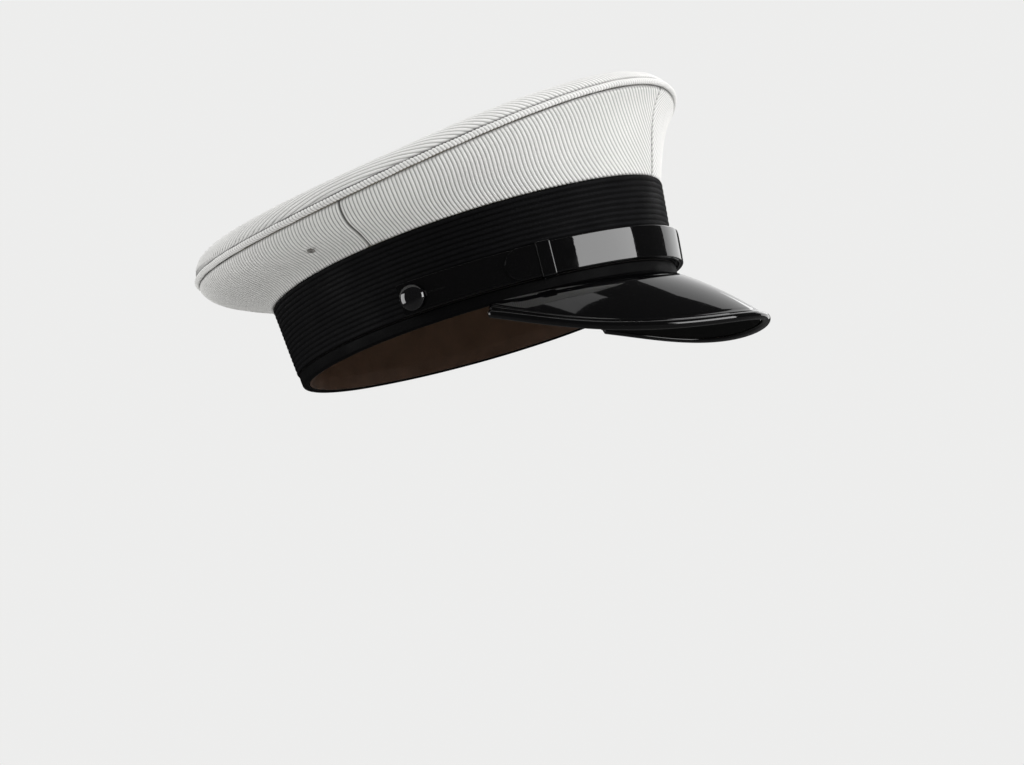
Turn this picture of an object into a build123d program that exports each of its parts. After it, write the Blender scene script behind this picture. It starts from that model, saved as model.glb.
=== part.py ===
from build123d import *
import math
import os

# Peaked cap. Millimetres. +X forward (peak), +Y wearer's left, +Z up.
# Origin: centre of the head opening, in the plane of the band's lower edge.

# --- plan of the band: a four-arc oval, every ring is an offset of it ---
HALF_LENGTH = 104.0        # band outside, at its lower edge
HALF_WIDTH = 86.7
END_RADIUS = HALF_WIDTH - 16.8
FLARE = 0.1                # outward lean of the band, mm per mm of height
BAND_HEIGHT = 46.8         # at the middle of the cap
BAND_TILT = 1.86           # the band's top edge is higher at the front, degrees
BRAID_START = 6.8
BRAID_THICK = 1.2
STIFFENER_THICK = 1.4
SWEATBAND_THICK = 1.0
SWEATBAND_HEIGHT = BAND_HEIGHT - 8.8
BINDING_HEIGHT = 6.5
BINDING_DEPTH = 4.3        # from the band's outside to the roll's inside
LAYER_GAP = 0.1            # between layers sewn together

# --- crown ---
CROWN_LENGTH = HALF_LENGTH + 30.35   # half length at the piping
CROWN_WIDTH = HALF_WIDTH + 36.35     # half width at the piping
CROWN_END_RADIUS = CROWN_WIDTH - 11.66
CROWN_SHIFT = -8.07        # piping oval's centre is behind the head opening's
CROWN_HEIGHT = BAND_HEIGHT + 32.94   # piping's lower side, at its centre
CROWN_TILT = 5.657         # front held up, degrees
CROWN_SADDLE = 12.6        # the sides hang this much lower
PANEL_THICK = 1.2
TOP_RISE = 11.4            # top panel above the lower side of the piping
TOP_LEAN = 0.013           # how much less of it at the front, mm per mm
TOP_ROUND = 9.0
PIPING = 3.2
GROMMET_WIDE = 3.0         # stretcher ring's section
GROMMET_INSET = 0.8        # from the inside of the piping
STAY_WIDTH = 14.0          # degrees round the front
STAY_THICK = 0.8
EYELET_PLACE = (112.0, 0.42)   # degrees from the front, share of the way up the panel
SEAM_GAP = 0.05            # half gap at each seam, degrees
SIDE_SEAM = (100.0, 92.0)  # side seams, degrees from the front at the band and at the piping

# --- peak ---
PEAK_END = (29.5, 4.3 - HALF_WIDTH, -2.4)   # rim's right end, under the band
PEAK_PULL = (33.6, -3.2, -13.6)             # its curve's next control point, from the end
PEAK_CORNER = (HALF_LENGTH - 4.9, 13.1 - HALF_WIDTH, -40.3)   # middle control point
PEAK_TIP = (HALF_LENGTH + 39.7, 0.0, -35.9)
PEAK_TIP_PULL = 36.4       # control point beside the tip, so the front is smooth
PEAK_ROOT_ANGLE = 68.0
BOARD_THICK = 1.4
COVER_THICK = 0.8
LINING_THICK = 0.6
RIM_RADIUS = 2.2

# --- chin strap, keepers, side buttons ---
STRAP_LOW = 6.7
STRAP_WIDTH = 16.2
STRAP_THICK = 1.1
STRAP_GAP = 1.4            # band to inner strap
STRAP_LAP = 0.12           # between the two straps
KEEPER_THICK = 0.55
KEEPER_CLEAR = 0.3
KEEPER_WIDTH = 7.0
KEEPER_PLACE = 34.0        # degrees round the side arc from the button
TAB_PLACE = 27.9           # centre of the strap's rounded end, same measure
TAB_RADIUS = STRAP_WIDTH / 2 + 0.1
STRAP_TAIL = 3.6           # square end behind the button, same measure
SLIT_LENGTH = 14.0         # buttonhole, from near the button's shank forwards
SLIT_WIDTH = 0.8
BUTTON_Z = STRAP_LOW + STRAP_WIDTH / 2 - 0.3
BUTTON_RADIUS = 6.75
BUTTON_DOME = 4.4
SHANK_RADIUS = 1.6
SHANK_CLEAR = 0.08
PIN_RADIUS = 0.45
PIN_LENGTH = 9.0
PIN_CLEAR = 0.25

END_CENTRE = HALF_LENGTH - END_RADIUS
SIDE_RADIUS = (END_CENTRE ** 2 + HALF_WIDTH ** 2 - END_RADIUS ** 2) / (2 * (HALF_WIDTH - END_RADIUS))
SIDE_CENTRE = SIDE_RADIUS - HALF_WIDTH
END_ANGLE = math.degrees(math.atan2(SIDE_CENTRE, END_CENTRE))
SIDE_HALF = 90.0 - END_ANGLE
STRAP_HIGH = STRAP_LOW + STRAP_WIDTH


def save(shape, name):
    solids = shape.solids()
    if len(solids) != 1:
        print("WARNING", name, "has", len(solids), "solids")
    solid = solids[0] if len(solids) == 1 else Compound(solids)
    solid.label = name
    export_step(solid, os.path.join("parts", name + ".step"))
    print(name, "valid", solid.is_valid, "volume", round(solid.volume, 1))
    return solid


# ---------- rings: a profile carried round the oval ----------

def arc_piece(profile, centre, radius, start, sweep):
    """Turn a (offset, z) profile about one arc's centre."""
    a = math.radians(start)
    c, s = math.cos(a), math.sin(a)
    corners = [(centre[0] + (radius + d) * c, centre[1] + (radius + d) * s, z) for d, z in profile]
    face = Face(Wire.make_polygon([Vector(*p) for p in corners], close=True))
    axis = Axis((centre[0], centre[1], 0), (0, 0, 1))
    return revolve(face, axis, revolution_arc=sweep)


def front_arc(profile):
    return arc_piece(profile, (END_CENTRE, 0), END_RADIUS, -END_ANGLE, 2 * END_ANGLE)


def back_arc(profile):
    return arc_piece(profile, (-END_CENTRE, 0), END_RADIUS, 180 - END_ANGLE, 2 * END_ANGLE)


def side_arc(profile, hand, start, stop):
    """Angles run from the side's middle, positive towards the peak; hand -1 is the wearer's right."""
    centre = (0, -hand * SIDE_CENTRE)
    if hand < 0:
        return arc_piece(profile, centre, SIDE_RADIUS, -90 + start, stop - start)
    return arc_piece(profile, centre, SIDE_RADIUS, 90 - stop, stop - start)


def full_ring(profile):
    ring = front_arc(profile)
    for piece in (side_arc(profile, 1, -SIDE_HALF, SIDE_HALF), back_arc(profile),
                  side_arc(profile, -1, -SIDE_HALF, SIDE_HALF)):
        ring = ring + piece
    return ring


def leaning(inner, outer, low, high):
    """Rectangle between two offsets that leans outwards with the band."""
    return [(inner + FLARE * low, low), (outer + FLARE * low, low),
            (outer + FLARE * high, high), (inner + FLARE * high, high)]


def above_band(lift=0.0):
    """Everything above the band's tilted top edge."""
    block = Box(500, 500, 120, align=(Align.CENTER, Align.CENTER, Align.MIN))
    return Pos(0, 0, BAND_HEIGHT + lift) * Rot(0, -BAND_TILT, 0) * block


def shank_hole(radius):
    return Pos(0, 0, BUTTON_Z) * Rot(90, 0, 0) * Cylinder(radius, 260)


# ---------- band ----------

def make_braid():
    ring = full_ring(leaning(-BRAID_THICK, 0, BRAID_START, BAND_HEIGHT + 8))
    return ring - above_band() - shank_hole(SHANK_RADIUS + SHANK_CLEAR)


def make_stiffener():
    outer = -BRAID_THICK - LAYER_GAP
    ring = full_ring(leaning(outer - STIFFENER_THICK, outer, BINDING_HEIGHT + 0.2, BAND_HEIGHT + 8))
    return ring - above_band(-0.6) - shank_hole(SHANK_RADIUS + SHANK_CLEAR)


def make_binding():
    """Braid rolled over the band's lower edge, a little inside the rest of it."""
    roll = [(-1.8, 0), (-0.9, 1.0), (-0.5, 2.2), (-0.4, 3.3), (-0.5, 4.4), (-0.9, 5.6), (-1.6, BINDING_HEIGHT)]
    return full_ring([(-BINDING_DEPTH, 0.9), (-BINDING_DEPTH + 0.9, 0)] + roll + [(-BINDING_DEPTH, BINDING_HEIGHT)])


def make_sweatband():
    """Stands just inside the binding, then leans with the band, clear of the split pins."""
    outer = -BINDING_DEPTH - LAYER_GAP
    low, high, turn = 0.8, SWEATBAND_HEIGHT, BINDING_HEIGHT + 1
    wall = [(outer, low), (outer, turn), (outer + FLARE * (high - turn), high)]
    return full_ring(wall + [(d - SWEATBAND_THICK, z) for d, z in reversed(wall)])


# ---------- chin strap ----------

def layer(number):
    inner = STRAP_GAP + number * (STRAP_THICK + STRAP_LAP)
    return leaning(inner, inner + STRAP_THICK, STRAP_LOW, STRAP_HIGH)


def side_frame(hand, angle, depth=0.0):
    """Frame on the side arc: z outwards, x towards the peak, at the strap's middle height."""
    a = math.radians(angle)
    r = SIDE_RADIUS + depth
    origin = (r * math.sin(a), hand * (r * math.cos(a) - SIDE_CENTRE), (STRAP_LOW + STRAP_HIGH) / 2)
    return Plane(origin, x_dir=(math.cos(a), -hand * math.sin(a), 0), z_dir=(math.sin(a), hand * math.cos(a), 0))


def rounded_end(number, hand):
    inner = STRAP_GAP + number * (STRAP_THICK + STRAP_LAP)
    wide = TAB_RADIUS - STRAP_WIDTH / 2
    tall = leaning(inner, inner + STRAP_THICK, STRAP_LOW - wide, STRAP_HIGH + wide)
    piece = side_arc(tall, hand, TAB_PLACE - 5.0, TAB_PLACE + 5.0)
    return piece & (side_frame(hand, TAB_PLACE) * Cylinder(TAB_RADIUS, 24))


def make_strap(number, hand):
    """hand: the side it's buttoned on."""
    profile = layer(number)
    strap = front_arc(profile)
    strap = strap + side_arc(profile, hand, -STRAP_TAIL, SIDE_HALF)
    strap = strap + side_arc(profile, -hand, TAB_PLACE, SIDE_HALF)
    strap = strap + rounded_end(number, -hand)
    out = hand * (HALF_WIDTH + STRAP_GAP + FLARE * BUTTON_Z)
    slit = Pos(2.5 + SLIT_LENGTH / 2, out, BUTTON_Z) * Box(SLIT_LENGTH, 20, SLIT_WIDTH)
    hole = Pos(0, out, BUTTON_Z) * Rot(90, 0, 0) * Cylinder(SHANK_RADIUS + SHANK_CLEAR, 20)
    return strap - (slit + hole)


def make_keeper(hand):
    half = math.degrees(KEEPER_WIDTH / 2 / SIDE_RADIUS)
    inner = STRAP_GAP - KEEPER_CLEAR
    outer = STRAP_GAP + 2 * STRAP_THICK + STRAP_LAP + KEEPER_CLEAR
    low, high = STRAP_LOW - 0.35, STRAP_HIGH + 0.35
    loop = side_arc(leaning(inner - KEEPER_THICK, outer + KEEPER_THICK, low - 0.9, high + 0.9),
                    hand, KEEPER_PLACE - half, KEEPER_PLACE + half)
    hole = side_arc(leaning(inner, outer, low, high), hand, KEEPER_PLACE - half - 1, KEEPER_PLACE + half + 1)
    return loop - hole


def button_back(number):
    inner = STRAP_GAP + number * (STRAP_THICK + STRAP_LAP)
    return HALF_WIDTH + FLARE * (BUTTON_Z + BUTTON_RADIUS) + inner + STRAP_THICK + 0.25


def turned(points, hand, base):
    """Revolve an (radius, height) profile about the button's axis, standing out from the cap."""
    wire = Wire.make_polygon([Vector(r, 0, h) for r, h in points], close=True)
    body = revolve(Face(wire), Axis.Z, revolution_arc=360)
    return Pos(0, hand * base, BUTTON_Z) * Rot(-hand * 90, 0, 0) * body


def make_button(number, hand):
    base = button_back(number)
    R, H = BUTTON_RADIUS, BUTTON_DOME
    points = [(SHANK_RADIUS + 0.02, 0), (R - 0.8, 0), (R - 0.15, 0.5), (R, 1.1)]
    for i in range(1, 10):
        a = math.radians(i * 10)
        points.append((R * math.cos(a) if i < 9 else 0, 1.1 + (H - 1.1) * math.sin(a)))
    points += [(0, 1.6), (SHANK_RADIUS + 0.02, 1.6)]
    return turned(points, hand, base)


def pin_distance():
    """The split pin turns with the shank, so it clears the leaning stiffener's back all round."""
    inner = HALF_WIDTH + FLARE * BUTTON_Z - BRAID_THICK - LAYER_GAP - STIFFENER_THICK
    return inner - FLARE * PIN_LENGTH / 2 - PIN_RADIUS - PIN_CLEAR


def make_shank(number, hand):
    base = button_back(number)
    foot = pin_distance() - PIN_RADIUS - 0.15 - base
    shank = turned([(0, foot), (SHANK_RADIUS, foot), (SHANK_RADIUS, 1.58), (0, 1.58)], hand, base)
    return shank - Pos(0, hand * pin_distance(), BUTTON_Z) * Cylinder(PIN_RADIUS + 0.04, 12)


def make_split_pin(hand):
    return Pos(0, hand * pin_distance(), BUTTON_Z) * Cylinder(PIN_RADIUS, PIN_LENGTH)


# ---------- crown ----------

def oval_reach(a, b, r, theta):
    """Distance from the centre to a four-arc oval at one angle."""
    big = ((a - r) ** 2 + b * b - r * r) / (2 * (b - r))
    c, s = abs(math.cos(theta)), abs(math.sin(theta))
    e, h = a - r, big - b
    reach = e * c + math.sqrt((e * c) ** 2 - e * e + r * r)
    if math.atan2(reach * s, reach * c - e) <= math.atan2(h, e):
        return reach
    return -h * s + math.sqrt((h * s) ** 2 - h * h + big * big)


def edge_height(x, y):
    """Height of the piping's lower side."""
    return (CROWN_HEIGHT + math.tan(math.radians(CROWN_TILT)) * (x - CROWN_SHIFT)
            - CROWN_SADDLE * (y / CROWN_WIDTH) ** 2)


def mix(theta, front, side, back):
    c = math.cos(theta)
    return front * max(c, 0) ** 2 + back * max(-c, 0) ** 2 + side * (1 - c * c)


def side_point(theta, v, depth=0.0):
    """Point on a quarter panel: v runs from the band to the piping."""
    grow = FLARE * BAND_HEIGHT - 0.6
    reach = oval_reach(HALF_LENGTH + grow, HALF_WIDTH + grow, END_RADIUS + grow, theta)
    low = Vector(reach * math.cos(theta), reach * math.sin(theta), 0)
    low.Z = BAND_HEIGHT + math.tan(math.radians(BAND_TILT)) * low.X + 0.15
    reach = oval_reach(CROWN_LENGTH - 0.3, CROWN_WIDTH - 0.3, CROWN_END_RADIUS - 0.3, theta)
    top = Vector(reach * math.cos(theta) + CROWN_SHIFT, reach * math.sin(theta), 0)
    lean_low = math.radians(mix(theta, 69, 42, 45))
    lean_top = math.radians(mix(theta, 39, 58, 77))
    top.Z = edge_height(top.X, top.Y) - 0.15 - PANEL_THICK * math.cos(lean_top)
    out = Vector(top.X - low.X, top.Y - low.Y, 0)
    span = (top - low).length
    out = out.normalized()
    pull = 0.31 * span
    one = low + out * (pull * math.cos(lean_low)) + Vector(0, 0, pull * math.sin(lean_low))
    two = top - out * (pull * math.cos(lean_top)) - Vector(0, 0, pull * math.sin(lean_top))
    u = 1 - v
    point = low * u ** 3 + one * (3 * u * u * v) + two * (3 * u * v * v) + top * v ** 3
    if depth:
        d = (low * -1 + one) * (3 * u * u) + (two - one) * (6 * u * v) + (top - two) * (3 * v * v)
        rise = Vector(d.X, d.Y, d.Z).normalized()
        flat = out * (-rise.Z) + Vector(0, 0, rise.dot(out))
        point = point + flat * depth
    return point


def side_patch(start, stop, depth=0.0, low=0.0, high=1.0):
    """start and stop: a seam's angles at the band and at the piping."""
    rows = 9
    columns = max(5, int(abs(stop[0] - start[0]) / 6) + 1)
    grid = []
    for i in range(columns + 1):
        line = []
        for j in range(rows + 1):
            v = low + (high - low) * j / rows
            one = start[0] + (start[1] - start[0]) * v
            two = stop[0] + (stop[1] - stop[0]) * v
            line.append(side_point(math.radians(one + (two - one) * i / columns), v, depth))
        grid.append(line)
    return Face.make_surface_from_array_of_points(grid, tol=0.02, min_deg=3, max_deg=5)


def inward(face, thick):
    """Thicken a side patch towards the inside of the cap."""
    one, two = Solid.thicken(face, thick), Solid.thicken(face, -thick)
    middle = Vector(0, 0, face.center().Z + 12)
    return one if (one.center() - middle).length < (two.center() - middle).length else two


def make_quarter(start, stop):
    start = [angle + SEAM_GAP for angle in start]
    stop = [angle - SEAM_GAP for angle in stop]
    return inward(side_patch(start, stop), PANEL_THICK)


def make_stay():
    half = STAY_WIDTH / 2
    return inward(side_patch((-half, -half), (half, half), PANEL_THICK + LAYER_GAP, 0.04, 0.9), STAY_THICK)


def oval_face(a, b, r):
    big = ((a - r) ** 2 + b * b - r * r) / (2 * (b - r))
    e, h = a - r, big - b
    half = math.atan2(h, e)
    x, y = e + r * math.cos(half), r * math.sin(half)
    arcs = [ThreePointArc((x, -y), (a, 0), (x, y)), ThreePointArc((x, y), (0, b), (-x, y)),
            ThreePointArc((-x, y), (-a, 0), (-x, -y)), ThreePointArc((-x, -y), (0, -b), (x, -y))]
    return make_face(Wire(arcs))


def crown_prism(offset):
    face = oval_face(CROWN_LENGTH + offset, CROWN_WIDTH + offset, CROWN_END_RADIUS + offset)
    return Pos(CROWN_SHIFT, 0, 30) * extrude(face, 100)


def under_saddle(lift, floor=10.0, lean=0.0):
    """Everything under the piping's saddle-shaped surface, raised by lift and lowered forwards by lean."""
    half = CROWN_WIDTH + 26.95
    reach = CROWN_LENGTH + 25.65
    mid = edge_height(CROWN_SHIFT, 0) + lift
    side = mid - CROWN_SADDLE * (half / CROWN_WIDTH) ** 2
    slope = math.tan(math.radians(CROWN_TILT)) - lean
    x0 = CROWN_SHIFT - reach
    drop = -reach * slope
    arc = ThreePointArc((x0, -half, side + drop), (x0, 0, mid + drop), (x0, half, side + drop))
    base = Polyline((x0, half, side + drop), (x0, half, floor + drop), (x0, -half, floor + drop),
                    (x0, -half, side + drop))
    face = Face(Wire([arc] + base.edges()))
    return extrude(face, 2 * reach * math.hypot(1, slope), dir=(1, 0, slope))


def saddle_slab(offset, low, high, lean=0.0):
    return (crown_prism(offset) & under_saddle(high, lean=lean)) - under_saddle(low, 0.0, lean)


def domed(offset, high, rounding):
    block = crown_prism(offset) & under_saddle(high, lean=TOP_LEAN)
    top = block.faces().sort_by(Axis.Z)[-1]
    return fillet(top.edges(), rounding)


def make_top_panel():
    outer = domed(-0.2, TOP_RISE, TOP_ROUND)
    inner = domed(-0.2 - PANEL_THICK, TOP_RISE - PANEL_THICK, TOP_ROUND - PANEL_THICK)
    return outer - inner - under_saddle(PIPING + 0.05, 0.0)


def make_piping():
    ring = saddle_slab(PIPING / 2 - 0.2, 0, PIPING) - crown_prism(-PIPING / 2 - 0.2)
    return fillet(ring.edges().filter_by(lambda e: e.length > 40), 1.1)


def make_grommet():
    outer = -PIPING / 2 - GROMMET_INSET
    return saddle_slab(outer, 0.5, 0.5 + GROMMET_WIDE) - crown_prism(outer - GROMMET_WIDE)


def make_top_lining():
    high = TOP_RISE - PANEL_THICK - LAYER_GAP
    return saddle_slab(-PANEL_THICK - TOP_ROUND, high - LINING_THICK, high, TOP_LEAN)


# ---------- peak ----------

def rim_point(t):
    """Middle of the peak's rim, t from 0 (wearer's right end) to 1 (left end)."""
    s, hand = (2 * t, 1) if t <= 0.5 else (2 - 2 * t, -1)
    end, corner, tip = Vector(*PEAK_END), Vector(*PEAK_CORNER), Vector(*PEAK_TIP)
    one = end + Vector(*PEAK_PULL)
    three = tip - Vector(0, PEAK_TIP_PULL, 0)
    u = 1 - s
    p = (end * u ** 4 + one * (4 * u ** 3 * s) + corner * (6 * u * u * s * s)
         + three * (4 * u * s ** 3) + tip * s ** 4)
    return Vector(p.X, p.Y * hand, p.Z)


def root_point(t):
    theta = math.radians(PEAK_ROOT_ANGLE * (2 * t - 1))
    inset = -3.0
    reach = oval_reach(HALF_LENGTH + inset, HALF_WIDTH + inset, END_RADIUS + inset, theta)
    return Vector(reach * math.cos(theta), reach * math.sin(theta), -1.2)


def peak_point(t, w):
    root, rim = root_point(t), rim_point(t)
    span = (rim - root).length
    way = (rim - root) * (1 / span)
    w = w * (span - RIM_RADIUS - 0.08) / span
    camber = 0.055 * span * 4 * w * (1 - w)
    return root + (rim - root) * w + Vector(camber * 0.7 * (rim - root).X / span, 0, camber * 0.75)


def peak_normal(t, w):
    a, b = peak_point(max(t - 0.004, 0), w), peak_point(min(t + 0.004, 1), w)
    c, d = peak_point(t, max(w - 0.01, 0)), peak_point(t, min(w + 0.01, 1))
    return (d - c).cross(b - a).normalized()


def peak_patch(depth):
    """depth: below the top of the board."""
    rows, columns = 8, 36
    grid = []
    for i in range(columns + 1):
        t = 0.03 + 0.94 * i / columns
        line = []
        for j in range(rows + 1):
            w = j / rows
            line.append(peak_point(t, w) - peak_normal(t, w) * depth)
        grid.append(line)
    return Face.make_surface_from_array_of_points(grid, tol=0.03, min_deg=3, max_deg=5)


def downward(face, thick):
    one, two = Solid.thicken(face, thick), Solid.thicken(face, -thick)
    return one if one.center().Z < two.center().Z else two


def make_rim(radius=RIM_RADIUS):
    points = [rim_point(0.012 + 0.976 * i / 40) for i in range(41)]
    path = Edge.make_spline(points)
    start = Plane(path @ 0, z_dir=path % 0)
    return sweep(start * Circle(radius), path=path)


def eyelet_place(hand):
    theta, v = math.radians(hand * EYELET_PLACE[0]), EYELET_PLACE[1]
    here = side_point(theta, v)
    a, b = side_point(theta - 0.01, v), side_point(theta + 0.01, v)
    c, d = side_point(theta, v - 0.02), side_point(theta, v + 0.02)
    normal = (b - a).cross(d - c).normalized()
    return Plane(here, z_dir=normal if normal.dot(Vector(here.X, here.Y, 0)) > 0 else normal * -1)


def eyelet_hole(hand):
    return eyelet_place(hand) * Cylinder(1.0, 8)


def make_eyelet(hand):
    flange = Pos(0, 0, 0.32) * (Cylinder(1.85, 0.5) - Cylinder(0.7, 2))
    barrel = Pos(0, 0, -0.5) * (Cylinder(0.95, 1.6) - Cylinder(0.7, 4))
    return eyelet_place(hand) * (flange + barrel)


def main():
    os.makedirs("parts", exist_ok=True)
    save(make_braid(), "band_braid")
    save(make_stiffener(), "band_stiffener")
    save(make_binding(), "band_binding")
    save(make_sweatband(), "sweatband")
    save(make_strap(0, -1), "chin_strap_inner")
    save(make_strap(1, 1), "chin_strap_outer")
    for hand, side, number in ((-1, "right", 0), (1, "left", 1)):
        save(make_keeper(hand), "keeper_" + side)
        save(make_button(number, hand), "side_button_" + side)
        save(make_shank(number, hand), "button_shank_" + side)
        save(make_split_pin(hand), "split_pin_" + side)
        save(make_eyelet(hand), "vent_eyelet_" + side)
    left, right = SIDE_SEAM, (-SIDE_SEAM[0], -SIDE_SEAM[1])
    save(make_quarter(right, (0, 0)), "crown_front_right")
    save(make_quarter((0, 0), left), "crown_front_left")
    save(make_quarter((-180, -180), right) - eyelet_hole(-1), "crown_rear_right")
    save(make_quarter(left, (180, 180)) - eyelet_hole(1), "crown_rear_left")
    save(make_top_panel(), "crown_top")
    save(make_piping(), "crown_piping")
    save(make_grommet(), "crown_grommet")
    save(make_top_lining(), "crown_top_lining")
    save(make_stay(), "crown_front_stay")
    save(make_rim(), "peak_rim")
    for name, depth, thick in (("peak_cover", -COVER_THICK - LAYER_GAP, COVER_THICK),
                               ("peak_board", 0.0, BOARD_THICK),
                               ("peak_lining", BOARD_THICK + LAYER_GAP, LINING_THICK)):
        layer_solid = downward(peak_patch(depth), thick) - make_rim(RIM_RADIUS + 0.06)
        save(layer_solid, name)


if __name__ == "__main__":
    main()
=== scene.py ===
"""Peaked service cap: ribbed white crown, black braid band, patent strap, buttons and peak."""
import math

import bpy
import numpy as np
from mathutils import Matrix, Vector
from bpy.props import FloatProperty, FloatVectorProperty, IntProperty, PointerProperty
from bpy.types import Operator, Panel, PropertyGroup


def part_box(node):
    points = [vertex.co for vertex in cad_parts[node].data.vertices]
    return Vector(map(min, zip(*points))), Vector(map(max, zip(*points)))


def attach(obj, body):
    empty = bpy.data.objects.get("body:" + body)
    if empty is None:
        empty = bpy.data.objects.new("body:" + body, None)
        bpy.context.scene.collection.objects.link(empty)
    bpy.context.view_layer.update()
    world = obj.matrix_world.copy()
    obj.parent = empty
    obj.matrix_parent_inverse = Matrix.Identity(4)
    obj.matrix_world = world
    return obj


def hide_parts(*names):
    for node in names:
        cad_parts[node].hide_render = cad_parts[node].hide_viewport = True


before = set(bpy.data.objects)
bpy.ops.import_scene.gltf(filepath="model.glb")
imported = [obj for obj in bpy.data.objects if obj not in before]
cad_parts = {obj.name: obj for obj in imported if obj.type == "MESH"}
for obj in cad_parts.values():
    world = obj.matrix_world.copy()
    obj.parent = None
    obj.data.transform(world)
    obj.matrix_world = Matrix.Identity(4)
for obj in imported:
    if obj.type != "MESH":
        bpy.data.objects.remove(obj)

bl_info = {
    "name": "Peaked Cap",
    "version": (1, 0, 0),
    "blender": (4, 5, 0),
    "location": "3D Viewport > Sidebar > Cap",
    "description": "Builds the cloth, braid, leather and trim of a peaked cap round its frame",
    "category": "Object",
}

# Shape of the cap, in millimetres, with the same driving sizes as its frame.
MM = 0.001
HALF_LENGTH, HALF_WIDTH, END_RADIUS = 104.0, 86.7, 69.9
END_CENTRE = HALF_LENGTH - END_RADIUS
SIDE_RADIUS = (END_CENTRE ** 2 + HALF_WIDTH ** 2 - END_RADIUS ** 2) / (2 * (HALF_WIDTH - END_RADIUS))
SIDE_CENTRE = SIDE_RADIUS - HALF_WIDTH
CORNER = math.atan2(SIDE_CENTRE, END_CENTRE)
FLARE = 0.1
BAND_HEIGHT, BAND_SLOPE = 46.8, math.tan(math.radians(1.86))
BAND_MIDDLE = 25.0  # height at which the plan is taken for the sloping top edge
BRAID_START, BRAID_THICK, BRAID_CLEAR = 6.8, 1.2, 0.06
BINDING_HALF_THICK, BINDING_HALF_HEIGHT, BINDING_CORNER = 1.85, 3.25, 1.5
CROWN_LENGTH, CROWN_WIDTH, CROWN_END_RADIUS = 134.35, 123.05, 111.39
BAND_OVAL = HALF_LENGTH, HALF_WIDTH, END_RADIUS
CROWN_OVAL = CROWN_LENGTH, CROWN_WIDTH, CROWN_END_RADIUS
CROWN_SHIFT, CROWN_HEIGHT = -8.07, 79.74
CROWN_SLOPE, CROWN_SADDLE = math.tan(math.radians(5.657)), 12.6
TOP_RISE, TOP_LEAN, TOP_ROUND, PIPING = 11.4, 0.013, 9.0, 3.2
SIDE_SEAM = (100.0, 92.0)  # degrees from the front, at the band and at the piping
PEAK_END = np.array([29.5, -82.4, -2.4])
PEAK_PULL = np.array([33.6, -3.2, -13.6])
PEAK_CORNER = np.array([99.1, -73.6, -40.3])
PEAK_TIP = np.array([143.7, 0.0, -35.9])
PEAK_TIP_PULL, PEAK_ROOT_ANGLE, RIM_RADIUS = 36.4, 68.0, 2.2
PEAK_START, PEAK_STOP = 0.012, 0.988  # share of the rim that the sheets and the bead take up
COVER_THICK, BOARD_THICK, LINING_THICK, LAYER_GAP = 0.8, 1.4, 0.6, 0.1
STRAP_LOW, STRAP_WIDTH, STRAP_THICK, STRAP_GAP, STRAP_LAP = 6.7, 16.2, 1.1, 1.4, 0.12
STRAP_MIDDLE = STRAP_LOW + STRAP_WIDTH / 2
KEEPER_THICK, KEEPER_CLEAR, KEEPER_WIDTH, KEEPER_PLACE = 0.55, 0.3, 7.0, 34.0
TAB_PLACE, TAB_RADIUS, TAB_TAPER = 27.9, 8.2, 11.0
SLIT_PLACE, SLIT_HALF_LENGTH, SLIT_HALF_WIDTH, SLIT_LIP = 12.0, 4.4, 0.3, 0.14
BUTTON_Z, BUTTON_RADIUS, BUTTON_DOME, BUTTON_RIM, BUTTON_TUCK = 14.5, 6.75, 4.4, 1.1, 0.9
EYELET_ANGLE, EYELET_SHARE, EYELET_HOLE, EYELET_REACH, EYELET_THREAD = 112.0, 0.42, 1.0, 1.42, 0.42
EYELET_WHIPS = 22

# Steps of the cloth grids: across each rib, and from one end of a rib to the other.
QUARTER_STEPS, QUARTER_ROWS = 8, 34
TOP_STEPS, TOP_ROWS = 6, 62
CLOTH_SCALE = 0.01  # cloth coordinates to a millimetre of flat cloth
THREAD_PITCH = 0.42

# Lamps: name, place, width, height, in metres, and power in watts.
LAMPS = (("front_softbox", (1.40, -0.16, 0.04), 1.00, 0.75, 13.5),
         ("rear_softbox", (-1.25, -0.75, 0.30), 0.80, 0.95, 8),
         ("left_strip", (0.55, 1.40, 0.20), 0.95, 1.00, 3.4),
         ("far_card", (0.21, 1.21, 0.80), 1.10, 1.20, 3.2),
         ("small_card", (0.47, -0.05, 1.53), 0.50, 0.50, 0.6),
         ("overhead", (0.48, -0.25, 1.60), 1.60, 1.60, 17))
LAMP_TARGET = (0.02, -0.02, 0.04)


class CapCloth(PropertyGroup):
    """Sizes and colour of the crown's cloth."""
    rib_pitch: FloatProperty(name="Rib pitch", description="From one rib of the cloth to the next",
                             default=1.95 * MM, unit="LENGTH", precision=5)
    rib_height: FloatProperty(name="Rib height", description="How far a rib stands above its valleys",
                              default=0.55 * MM, unit="LENGTH", precision=5)
    thickness: FloatProperty(name="Cloth thickness", description="Cloth with its backing",
                             default=1.0 * MM, unit="LENGTH", precision=5)
    colour: FloatVectorProperty(name="Cloth colour", description="Crown cloth", subtype="COLOR",
                                default=(0.84, 0.835, 0.82), min=0, max=1)


class CapBand(PropertyGroup):
    """Sizes and colour of the braid."""
    ribs: IntProperty(name="Braid ribs", default=15, min=4, description="Ribs up the height of the band")
    rib_height: FloatProperty(name="Braid rib height", description="Relief of the braid's ribs",
                              default=0.55 * MM, unit="LENGTH", precision=5)
    colour: FloatVectorProperty(name="Braid colour", description="Black mohair braid", subtype="COLOR",
                                default=(0.0018, 0.0018, 0.0021), min=0, max=1)


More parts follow.
